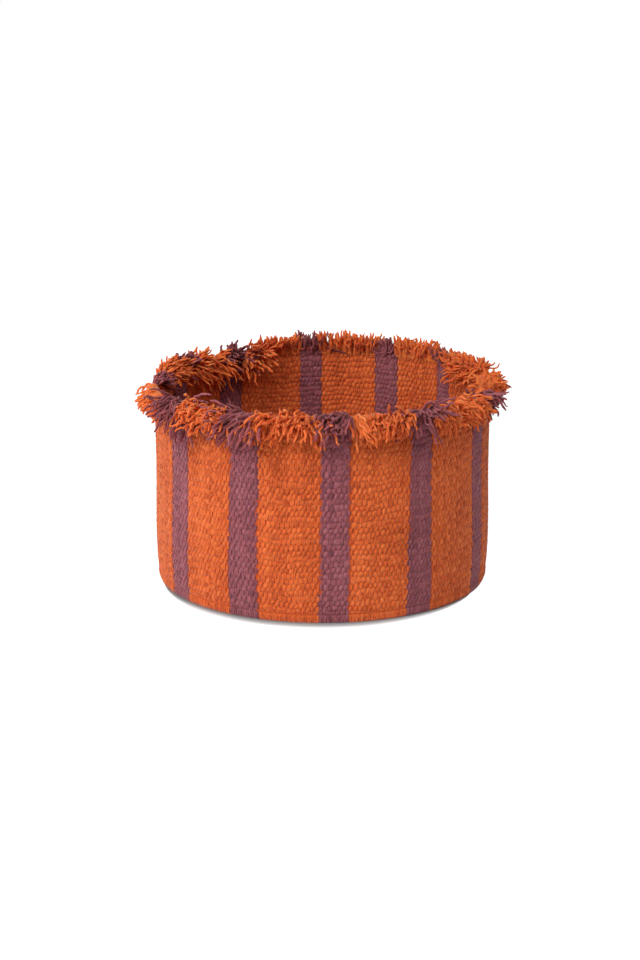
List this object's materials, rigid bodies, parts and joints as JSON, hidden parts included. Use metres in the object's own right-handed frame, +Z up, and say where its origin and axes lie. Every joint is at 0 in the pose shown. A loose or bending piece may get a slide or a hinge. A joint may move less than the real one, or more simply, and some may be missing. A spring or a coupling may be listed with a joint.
{
  "type": "fringed basket",
  "caption": "Low round storage basket of thick woven cloth in orange with upright plum stripes, open at the top, with a loose yarn fringe round its rim.",
  "frame": {"origin": "middle of the flat base, on the surface that the basket stands on", "axes": "+Z up along the basket's round axis; -Y is the front, the side that the picture looks at; +X is to the right in the picture"},
  "size_m": [0.3332, 0.3291, 0.1981],
  "materials": {
    "orange_yarn": "matte hand-woven cotton yarn, burnt orange",
    "plum_yarn": "matte hand-woven cotton yarn, plum",
    "sewing_thread": "matte twisted cotton thread, deep orange"
  },
  "bodies": {
    "root": {"wall_plum_01": "plum_yarn", "wall_orange_01": "orange_yarn", "wall_plum_02": "plum_yarn", "wall_orange_02": "orange_yarn", "wall_plum_03": "plum_yarn", "wall_orange_03": "orange_yarn", "wall_plum_04": "plum_yarn", "wall_orange_04": "orange_yarn", "wall_plum_05": "plum_yarn", "wall_orange_05": "orange_yarn", "wall_plum_06": "plum_yarn", "wall_orange_06": "orange_yarn", "wall_plum_07": "plum_yarn", "wall_orange_07": "orange_yarn", "wall_plum_08": "plum_yarn", "wall_orange_08": "orange_yarn", "wall_plum_09": "plum_yarn", "wall_orange_09": "orange_yarn", "wall_plum_10": "plum_yarn", "wall_orange_10": "orange_yarn", "wall_plum_11": "plum_yarn", "wall_orange_11": "orange_yarn", "wall_plum_12": "plum_yarn", "wall_orange_12": "orange_yarn", "base_cloth": "orange_yarn", "base_seam_thread_outside": "sewing_thread", "base_seam_thread_inside": "sewing_thread", "side_seam_thread_outside": "sewing_thread", "side_seam_thread_inside": "sewing_thread", "fringe_plum": "plum_yarn", "fringe_orange": "orange_yarn"}
  },
  "joints": []
}
